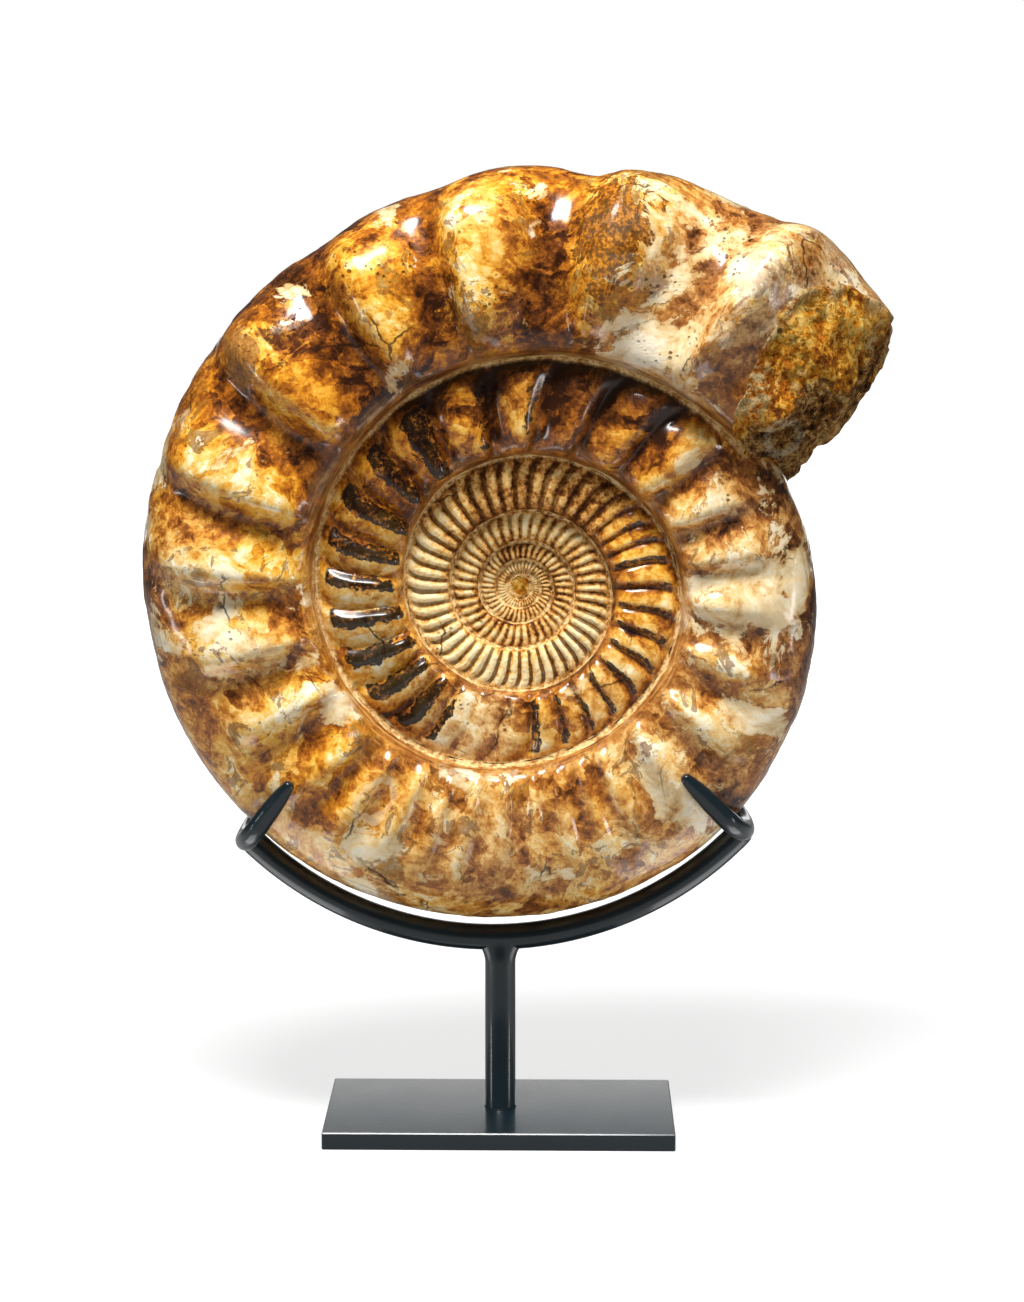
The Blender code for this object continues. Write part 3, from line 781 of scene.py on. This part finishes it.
stone, stone_tree, stone_shader = new_material("fossil_stone")
stone_place = place_of(stone_tree)


def stone_cloud(scale, detail=4, roughness=0.55, distortion=0, place=None):
    return cloud(stone_tree, place or stone_place, scale, detail, roughness, distortion)


coats = []


def painted(share, colour, stops=None):
    """Lays one more colour over the stone where a mask is 1. With stops, the colour follows a field."""
    coats.append((share, colour_ramp(colour, stops) if stops else colour))


turn, row, rib, height = stored_numbers(stone_tree, "turn row rib height")
bead, crest, ahead = stored_numbers(stone_tree, "bead crest ahead")
level = row.math("MINIMUM", 6 - row)
swirled = swirled_place(stone_tree, stone_place, 9, 0.05)
broad, middling = stone_cloud(11, 2, place=swirled), stone_cloud(34, 4, 0.62, 0.7, swirled)
fine, finest = stone_cloud(130, 4, 0.7), stone_cloud(420, 2, 0.6)
agate = stone_cloud(22, 7, 0.66, 0.3, swirled)
mottle = stone_cloud(48, 5, 0.68, 1.2, swirled)
ragged_place = swirled_place(stone_tree, swirled, 90, 0.014)


def random_cells(scale):
    """A number for each cell of a mosaic with ragged edges, the same all over the cell."""
    return add_node(stone_tree, "ShaderNodeSeparateColor", mosaic(stone_tree, ragged_place, scale, output=1))


large_cells, small_cells = random_cells(70), random_cells(190)

# How light and how honey-coloured the stone is along the shell, and how much darker it is between the ribs,
# partly as painted shade
TONE = (
    (-760, 0.56), (-705, 0.6), (-688, 0.8), (-535, 0.77), (-505, 0.44), (-440, 0.38), (-405, 0.48),
    (-385, 0.44), (-300, 0.42), (-262, 0.5), (-246, 0.6), (-228, 0.53), (-180, 0.54), (-160, 0.38),
    (-60, 0.28), (-45, 0.34), (-30, 0.54), (55, 0.58), (75, 0.53), (135, 0.54), (152, 0.54), (180, 0.51),
    (200, 0.45), (215, 0.42), (240, 0.4), (285, 0.42), (296, 0.6), (324, 0.56),
)
HONEY = (
    (-760, 0.55), (-690, 0.4), (-520, 0.5), (-405, 0.6), (-385, 0.8), (-275, 0.8), (-262, 0.2), (-246, 0.2),
    (-232, 0.7), (-110, 0.9), (-45, 0.75), (-20, 0.4), (60, 0.5), (120, 0.6), (150, 0.8), (205, 0.85),
    (218, 1), (282, 1), (296, 0.45), (324, 0.4),
)
RIB_TONE_AND_SHADE = (
    (-760, 0.5), (-400, 0.4), (-110, 0.3), (-36, 0.5), (50, 0.45), (80, 0.2), (130, 0.2), (160, 0.45),
    (215, 0.45), (324, 0.4),
)
inner_turns = turn.fall(-790, -750)
tone = read_table(turn, TONE) * (1 - inner_turns) + inner_turns * 0.56
inward = turn.fall(-410, -385)
tone = tone + (broad - 0.5) * 0.6 + (middling - 0.5) * 0.8 + (mottle - 0.5) + (fine - 0.5) * 0.9
tone = tone + ((large_cells - 0.5) * 0.3 + (small_cells - 0.5) * 0.22) * (1 - inward * 0.6)
# Lighter on the rib crests and darker between the ribs: partly the stone's own colour, partly painted light
# and shade on the relief
tone = tone + (rib - 0.4) * read_table(turn, RIB_TONE_AND_SHADE) + (finest - 0.5) * (inward * 0.9 + 0.3)
tone = tone + height.ramp(0.55, 0.8) * turn.between(40, 60, 140, 165) * 0.14
tone = tone - height.fall(0.2, 0.5) * turn.ramp(190, 215) * 0.1
# Painted shadow: darker near the outer seam on the top of the second turn, under the overhang of the outer
# turn
tone = tone - level.ramp(0.8, 1.7) * turn.between(-150, -110, -60, -40) * 0.3
honey = (read_table(turn, HONEY) + (stone_cloud(16) - 0.5) * 1.6).clamp()
chalk_colour = colour_ramp(tone, (
    (0, (44, 24, 12)), (0.2, (98, 58, 30)), (0.4, (156, 102, 56)), (0.55, (196, 146, 90)),
    (0.7, (228, 190, 134)), (0.85, (242, 216, 170)), (1, (250, 238, 210)),
))
honey_colour = colour_ramp(tone, (
    (0, (48, 22, 6)), (0.2, (108, 56, 14)), (0.38, (172, 98, 24)), (0.53, (218, 146, 38)),
    (0.68, (240, 182, 72)), (0.85, (248, 212, 132)), (1, (253, 238, 200)),
))
stone_colour = blend_colour(stone_tree, honey, chalk_colour, honey_colour)
painted(inward * 0.75, tone, (
    (0.1, (66, 34, 10)), (0.33, (142, 88, 34)), (0.52, (212, 150, 76)), (0.72, (242, 194, 116)),
    (1, (250, 224, 164)),
))

# Brown flecks, and ivory patches with crisp edges that thin brown lines follow, as in agate
on_outer_turn = turn.ramp(-60, -20)
flecks = (mottle + turn.ramp(285, 300) * 0.03).ramp(0.585, 0.6) * on_outer_turn
painted(flecks * 0.7, fine, ((0.35, (84, 44, 14)), (0.65, (146, 86, 34))))
IVORY_SHARE = (
    (-760, 0), (-60, 0), (-30, 0.13), (50, 0.12), (75, 0.06), (140, 0.09), (170, 0.09), (205, 0.08),
    (218, 0.03), (284, 0.06), (294, 0.15), (324, 0.1),
)
ivory_field = agate + read_table(turn, IVORY_SHARE)
ivory = ivory_field.ramp(0.64, 0.672)
painted(ivory * 0.85, middling * 0.5 + mottle * 0.5 + (ivory_field - 0.66) * 1.2, (
    (0.4, (190, 140, 78)), (0.48, (226, 192, 134)), (0.56, (244, 222, 176)), (0.66, (252, 242, 216)),
))
agate_line = ivory_field.off(0.645).fall(0.002, 0.01)
painted(agate_line * (fine + middling - 0.5).ramp(0.46, 0.6) * on_outer_turn * 0.6, srgb(112, 62, 20))

# Dark granular patches, pits and hairline cracks
grains = finest.ramp(0.4, 0.6)
grain_colour = colour_ramp(grains * 0.5 + (fine - 0.5) * 1.6 + 0.25, (
    (0, (214, 146, 44)), (0.3, (160, 94, 24)), (0.6, (104, 56, 14)), (1, (50, 24, 7)),
))
on_front = 1 - row.math("GREATER_THAN", 3)


def distance(turn_at, height_at, half_turn, half_height):
    """0 at one place of the outer turn and 1 all around it, at the edge of an oval."""
    return (((turn - turn_at) / half_turn) ** 2 + ((height - height_at) / half_height) ** 2).math("SQRT")


def placed(*oval, ragged=0.4):
    """Oval patch with a ragged edge on the front of the outer turn."""
    return (distance(*oval) + (mottle - 0.5) * ragged * 6).fall(0.85, 1) * on_front


grain_patch = (stone_cloud(24, 5, 0.6) + turn.ramp(270, 285) * 0.03).ramp(0.6, 0.64) * on_outer_turn
grain_patch = grain_patch * 0.7 + placed(284, 0.66, 5, 0.34, ragged=0.7)
grain_patch = (grain_patch + placed(259, 0.2, 5, 0.2, ragged=0.7) * 0.8).clamp()
painted(grain_patch * 0.92, grain_colour)
sandy_patch = placed(221, 0.78, 4.5, 0.12)
painted(sandy_patch * 0.85, finest, ((0.35, (120, 76, 34)), (0.65, (176, 122, 62))))
pitted_patch = placed(229.5, 0.68, 4, 0.12, ragged=0.9)
painted(pitted_patch * (0.45 + grains * 0.5), srgb(66, 32, 12))
pale_patch = placed(4, 0.62, 4.2, 0.2, ragged=0.2)
painted(pale_patch * 0.85, middling, ((0.4, (232, 206, 158)), (0.6, (248, 232, 196))))
hook_ring = (distance(125, 0.36, 4.5, 0.17).off(0.8) + (mottle - 0.5)).fall(0.12, 0.2)
hook_ring = hook_ring * (turn.ramp(119, 124) + height.ramp(0.4, 0.5)).clamp()
painted(hook_ring * on_front * 0.5, srgb(238, 214, 168))
lip_dirt = turn.ramp(300, 310) * height.ramp(0.2, 0.4) * (mottle + fine * 0.6 - 0.3).ramp(0.48, 0.53)
painted(lip_dirt * 0.8, fine * 0.6 + finest * 0.4, (
    (0.38, (72, 40, 18)), (0.48, (146, 94, 50)), (0.58, (204, 158, 104)),
))

pit_share = 0.38 + turn.ramp(205, 225) * 0.05
pits = use_group(stone_tree, pit_tree, {"Place": stone_place, "Pit scale": 300, "Share": pit_share})["Pit"]
painted(pits * 0.7, srgb(62, 32, 12))
cracks = use_group(stone_tree, crack_tree, {"Place": stone_place, "Crack scale": 26, "Share": 0.4})["Crack"]
long_crack = (height - 0.5 + (turn - 232) * 0.018 + (middling - 0.5) * 0.2).math("ABSOLUTE")
long_crack = long_crack.fall(0.004, 0.011) * turn.between(229, 231, 240, 243) * on_front
cracks = (cracks + long_crack).clamp()
painted(cracks * 0.85, srgb(44, 22, 8))

# Fibrous band along the inner wall of each turn, and the ochre seam line
along = point_at(stone_tree, turn * 0.05, level * 15, row * 0.4)
fibres = cloud(stone_tree, along, 1, 5, 0.65, 1)
wall = (level + (broad - 0.5) * 0.6 + (mottle - 0.5)).fall(0.18, 0.55)
painted(wall * 0.75 * turn.ramp(-400, -30), fibres + (middling - 0.5) * 0.6, (
    (0.3, (84, 44, 14)), (0.45, (142, 84, 34)), (0.58, (190, 132, 66)), (0.72, (226, 182, 116)),
))
streak_place = point_at(stone_tree, turn * 0.06, row * 14, 0)
streaks = cloud(stone_tree, streak_place, 1, 6, 0.7, 0.8).ramp(0.55, 0.6)
painted(streaks * height.ramp(0.86, 0.95) * on_outer_turn * 0.55, srgb(132, 84, 40))
seam_line = (bead + (fine - 0.5) * 0.5).ramp(0.2, 0.7)
painted(seam_line * 0.85, fine * 0.5 + finest * 0.5, (
    (0.38, (150, 100, 48)), (0.48, (214, 168, 102)), (0.56, (246, 218, 160)),
))

# Dark grooves between the fine inner ribs, partly the stone's own dark brown and partly painted shade in the
# grooves
mid_rib = level.between(0.1, 0.3, 1.65, 1.9)
GROOVE_SHARE = ((-760, 0.5), (-700, 0.75), (-660, 1), (-560, 0.7), (-505, 0.8), (-400, 0.5))
groove_stain_and_shade = (fine * 1.1 + mottle * 1.1 - crest * 0.8 - 0.3).ramp(0.95, 1.3) * inward * mid_rib
groove_stain_and_shade = groove_stain_and_shade * (read_table(turn, GROOVE_SHARE) * (1 - inner_turns) + inner_turns * 0.6)
painted(groove_stain_and_shade * 0.9, fine, ((0.35, (34, 16, 6)), (0.65, (98, 54, 22))))

# Black glossy mineral: over the ribs of the second turn at the left, and just past their crests elsewhere
BLACK_SHARE = (
    (-400, 0.5), (-385, 0.9), (-300, 0.9), (-275, 0.8), (-262, 0.1), (-248, 0.2), (-236, 1), (-150, 1),
    (-110, 0.6), (-80, 0.35), (-45, 0.2), (-30, 0),
)
on_crest = turn.between(-246, -228, -130, -100)
roughly = (fine - 0.5) * 2.4 + (mottle - 0.5) * 2.6 + (small_cells - 0.5) * 0.3
past_crest = (ahead * 0.97 + crest * 0.25 + roughly).ramp(0.7, 0.95)
crest_band = (crest * 0.85 + ahead * 0.5 + roughly).ramp(0, 0.5)
black = past_crest * (1 - on_crest) + crest_band * on_crest
black = black * (level + (middling - 0.5)).ramp(0.35, 0.6) * level.fall(1.5, 1.85) * (1 - inward)
black = black * (read_table(turn, BLACK_SHARE) + (middling - 0.5) * 0.9 + (mottle - 0.5) * 0.8).ramp(0.2, 0.6)
black = black.ramp(0.25, 0.6)
painted(black * 0.97, fine * 0.6 + finest * 0.4, (
    (0.42, (7, 4, 2)), (0.52, (24, 13, 7)), (0.57, (92, 52, 16)), (0.63, (168, 110, 42)),
))
sandy = on_crest * (1 - black) * level.ramp(0.2, 0.4)

for share, colour in coats:
    stone_colour = blend_colour(stone_tree, share, stone_colour, colour)
matt = seam_line * 0.8 + grain_patch * 0.35 + sandy_patch * 0.3 + pitted_patch * 0.6 + pits * 0.5
matt = matt + cracks * 0.4 + wall * 0.1 + lip_dirt * 0.4 + sandy * 0.3 + inward * 0.55 + groove_stain_and_shade * 0.2
matt = (matt - black * 0.5).clamp()
relief = mottle * 0.8 + fine * 0.5 - pits + finest * (0.15 + inward * 0.5)
set_inputs(stone_shader, {
    "Base Color": stone_colour,
    "Roughness": 0.25 + finest * 0.1 + matt * 0.5,
    "Specular IOR Level": 0.08,
    "Coat Weight": (1 - matt * 1.4).clamp(),
    "Coat Roughness": 0.15,
    "Normal": bump(stone_tree, 0.8, 0.0014, relief),
})

# The broken end shows the rough filling of the tube, with painted light and shade: lit ochre where it faces
# up, shaded dark brown below
broken_stone, broken_tree, broken_shader = new_material("broken_stone")
broken_place = place_of(broken_tree)
broken_share, broken_row = stored_numbers(broken_tree, "share row")
lumps = cloud(broken_tree, broken_place, 48, 6, 0.72)
crumbs = cloud(broken_tree, broken_place, 210, 5, 0.75)
holes = use_group(broken_tree, pit_tree, {"Place": broken_place, "Pit scale": 190, "Share": 0.46})["Pit"]
# Painted light and shade: the mask chooses lit ochre on the upper facet and shaded dark brown on the lower
# facet and towards the venter
shade = (broken_share + (lumps - 0.5) * 1.3 + broken_row.ramp(2.2, 3.4) * 0.5).ramp(0.41, 0.46)
broken_tone = 0.6 + (lumps - 0.5) * 1.2 + (crumbs - 0.5) * 1.8
lit_ochre = colour_ramp(broken_tone, (
    (0.25, (96, 44, 6)), (0.4, (184, 98, 12)), (0.5, (236, 146, 28)), (0.64, (250, 178, 56)),
    (0.85, (252, 212, 116)),
))
shaded_umber = colour_ramp(broken_tone, (
    (0.28, (42, 22, 6)), (0.42, (98, 60, 20)), (0.54, (148, 98, 38)), (0.68, (188, 134, 64)),
    (0.8, (220, 180, 116)),
))
broken_colour = blend_colour(broken_tree, shade, lit_ochre, shaded_umber)
broken_x, _, broken_z = broken_place.parts()


def away_from(x, z):
    return ((broken_x - x) ** 2 + (broken_z - z) ** 2).math("SQRT")


pale_rim = broken_share.fall(0, 0.1) * lumps.ramp(0.45, 0.55)
pale_spot = away_from(0.137, 0.430).fall(0.009, 0.021) * (lumps + crumbs - 0.5).ramp(0.42, 0.5)
chalk_ring = (away_from(0.1564, 0.4009) - 0.0098 + (lumps - 0.5) * 0.008).math("ABSOLUTE")
chalk_ring = chalk_ring.fall(0.0012, 0.0034) * (lumps + crumbs - 0.5).ramp(0.36, 0.5)
crevice = crumbs.off(0.5).fall(0, 0.03) * lumps.fall(0.42, 0.52)
crevice = (crevice + lumps.off(0.53).fall(0.004, 0.014)).clamp()
for share, colour in (
    ((pale_rim + pale_spot).clamp() * 0.8, (236, 208, 152)), (chalk_ring * 0.75, (206, 186, 150)),
    (crevice * 0.6, (58, 28, 6)), (holes * 0.9, (32, 16, 5)),
):
    broken_colour = blend_colour(broken_tree, share, broken_colour, srgb(*colour))
broken_relief = lumps + crumbs * 0.8 - holes * 0.8 - crevice * 0.3
set_inputs(broken_shader, {
    "Base Color": broken_colour,
    "Roughness": 0.72 + crumbs * 0.3,
    "Specular IOR Level": 0.25,
    "Normal": bump(broken_tree, 1, 0.005, broken_relief),
})

add_piece("ammonite_stone", "ammonite", blank_mesh(build_shell_blank()), shell_tree, {
    "Rib rise": RIB_RISE,
    "Seam bead": SEAM_BEAD,
    "Dent depth": DENT_DEPTH,
    "Break roughness": BREAK_ROUGHNESS,
    "Break swell": BREAK_SWELL,
    "Lowest": tuple(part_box("ammonite")[0]),
    "Highest": tuple(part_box("ammonite")[1]),
    "Finish": stone,
    "Broken finish": broken_stone,
}, SHELL_SHARP_ANGLE)


# Stand. A flat steel plate carries a turned post, and a round bar bent to an arc is welded across its top. A
# tapered U-shaped rod is welded to each end of the arc. Everything is painted in one satin blue-grey.

POST_X = 0.2 * MM
POST_RADIUS = 8.75 * MM
POST_FOOT = 10.2 * MM
FOOT_WELD = (0.6 * MM, 0.7 * MM)
WELD_BOTTOM = 95.5 * MM
WELD_TOP = 111 * MM
WELD_FLARE = 7.5 * MM
WELD_HOLLOW = 2.2
WELD_FLATTENING = 1.5 * MM
WELD_STEPS = 20
ARC_CENTRE = (-5 * MM, 306 * MM)
ARC_RADIUS = 194.8 * MM
BAR_RADIUS = 7.5 * MM
BAR_END = 5 * MM
BAR_END_SHARE = 0.6
BAR_POINTS = 161
BEND_DEPTH = 22 * MM
BEND_POINTS = 25
HOOK_RADIUS = 5.8 * MM
PRONG_TAPER = ((0, 5.8), (0.3, 5.6), (0.6, 4.9), (0.85, 3.7), (0.95, 2.9), (1, 1.6))
PRONG_STEPS = 21
TIP_LENGTH = 2.9 * MM
TIP_STEPS = 9
TIP_POINT = 0.15 * MM
HOOKS = {
    "left": {
        "elbow": (-145 * MM, 170.1 * MM), "slope": 54, "length": 52 * MM,
        "half_width": 44.3 * MM, "spread": 6.4 * MM,
    },
    "right": {
        "elbow": (139.6 * MM, 176.9 * MM), "slope": 134, "length": 54 * MM,
        "half_width": 40.9 * MM, "spread": 5 * MM,
    },
}
ROD_SIDES = 40
ROD_SHARP_ANGLE = 50

paint, paint_tree, paint_shader = new_material("stand_paint")
paint_place = place_of(paint_tree)
paint_cloud = cloud(paint_tree, paint_place, 35, 4)
paint_orange_peel = cloud(paint_tree, paint_place, 420, 3)
set_inputs(paint_shader, {
    "Base Color": blend_colour(paint_tree, paint_cloud, srgb(10, 21, 26), srgb(18, 35, 42)),
    "Roughness": 0.34 + paint_cloud * 0.12,
    "Specular IOR Level": 0.3,
    "Coat Weight": 0.8,
    "Coat Roughness": 0.13,
    "Normal": bump(paint_tree, 0.25, 0.0005, paint_orange_peel),
})

# Tree that draws a round rod along a line of points. Each has a radius and a depth as a share of its width
rod_tree, given = new_group(
    "Round rod", "GeometryNodeTree",
    [("Path", GEOMETRY), ("Sides", "NodeSocketInt"), ("Paint", "NodeSocketMaterial")], [("Rod", GEOMETRY)],
)
rod_line = add_node(rod_tree, "GeometryNodeMeshToCurve", {"Mesh": given["Path"]})
rod_ring = {"Resolution": given["Sides"], "Radius": 1}
rod = add_node(rod_tree, "GeometryNodeCurveToMesh", {
    "Curve": rod_line,
    "Profile Curve": add_node(rod_tree, "GeometryNodeCurvePrimitiveCircle", rod_ring),
    "Scale": named_number(rod_tree, "rod_radius"),
    "Fill Caps": True,
})
rod_x, rod_y, rod_z = add_node(rod_tree, "GeometryNodeInputPosition").parts()
rod_place = point_at(rod_tree, rod_x, rod_y * named_number(rod_tree, "depth_share"), rod_z)
rod = add_node(rod_tree, "GeometryNodeSetPosition", {"Geometry": rod, "Position": rod_place})
put_out(rod_tree, {"Rod": finished(rod, given["Paint"])})


def add_rod(name, node, path):
    """Rod along (place, radius, depth share) points, which stands for a node of the frame."""
    places, radii, depths = zip(*path)
    mesh = bpy.data.meshes.new(name)
    mesh.from_pydata(places, [(i, i + 1) for i in range(len(path) - 1)], [])
    add_numbers(mesh, {"rod_radius": radii, "depth_share": depths})
    inputs = {"Sides": ROD_SIDES, "Paint": paint}
    add_piece(name, node, mesh, rod_tree, inputs, ROD_SHARP_ANGLE)


post_path = [
    ((POST_X, 0, POST_FOOT), POST_RADIUS + FOOT_WELD[0], 1),
    ((POST_X, 0, POST_FOOT + FOOT_WELD[1]), POST_RADIUS, 1),
]
for step in range(WELD_STEPS + 1):
    share = step / WELD_STEPS
    radius = POST_RADIUS + WELD_FLARE * share ** WELD_HOLLOW
    half_depth = POST_RADIUS - WELD_FLATTENING * step_up(share)
    place = (POST_X, 0, WELD_BOTTOM + (WELD_TOP - WELD_BOTTOM) * share)
    post_path.append((place, radius, half_depth / radius))
add_rod("turned_post", "post", post_path)


def arc_point(turn):
    """Point of the bar's centre line; turn is 0 at its lowest point and grows to the right."""
    return (ARC_CENTRE[0] + ARC_RADIUS * math.sin(turn), 0, ARC_CENTRE[1] - ARC_RADIUS * math.cos(turn))


arc_ends = [
    math.atan2(hook["elbow"][0] - ARC_CENTRE[0], ARC_CENTRE[1] - hook["elbow"][1]) for hook in HOOKS.values()
]
bar_path = []
for turn in np.linspace(*arc_ends, BAR_POINTS).tolist():
    from_end = min(turn - arc_ends[0], arc_ends[1] - turn) * ARC_RADIUS
    rounding = math.sqrt(1 - (1 - min(from_end / BAR_END, 1)) ** 2)
    bar_path.append((arc_point(turn), BAR_RADIUS * (BAR_END_SHARE + (1 - BAR_END_SHARE) * rounding), 1))
add_rod("arc_bar", "cradle_bar", bar_path)

for side, hook in HOOKS.items():
    slope = math.radians(hook["slope"])
    inward_way = Vector((math.cos(slope), 0, math.sin(slope)))
    elbow = Vector((hook["elbow"][0], 0, hook["elbow"][1]))
    straight = hook["length"] - BEND_DEPTH
    tip_start = 1 - TIP_LENGTH / straight

    # Half of the hook, from its elbow to a tip, as (distance inward, distance across, radius)
    half_hook = [
        (BEND_DEPTH * (1 - math.cos(bend)), hook["half_width"] * math.sin(bend), HOOK_RADIUS)
        for bend in np.linspace(0, math.pi / 2, BEND_POINTS).tolist()
    ]
    prong = []
    for share in np.linspace(0, tip_start, PRONG_STEPS + 1)[1:].tolist():
        prong.append((share, float(np.interp(share, *zip(*PRONG_TAPER))) * MM))
    tip_radius = prong[-1][1]
    for rounding in np.linspace(0, math.pi / 2, TIP_STEPS + 1)[1:].tolist():
        share = tip_start + (1 - tip_start) * math.sin(rounding)
        prong.append((share, max(tip_radius * math.cos(rounding), TIP_POINT)))
    for share, radius in prong:
        half_hook.append((BEND_DEPTH + straight * share, hook["half_width"] + hook["spread"] * share, radius))

    front = [(elbow + inward_way * a + Vector((0, -y, 0)), r, 1) for a, y, r in reversed(half_hook)]
    back = [(elbow + inward_way * a + Vector((0, y, 0)), r, 1) for a, y, r in half_hook[1:]]
    add_rod(side + "_horn", side + "_hook", front + back)

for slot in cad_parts["base_plate"].material_slots:
    slot.material = paint
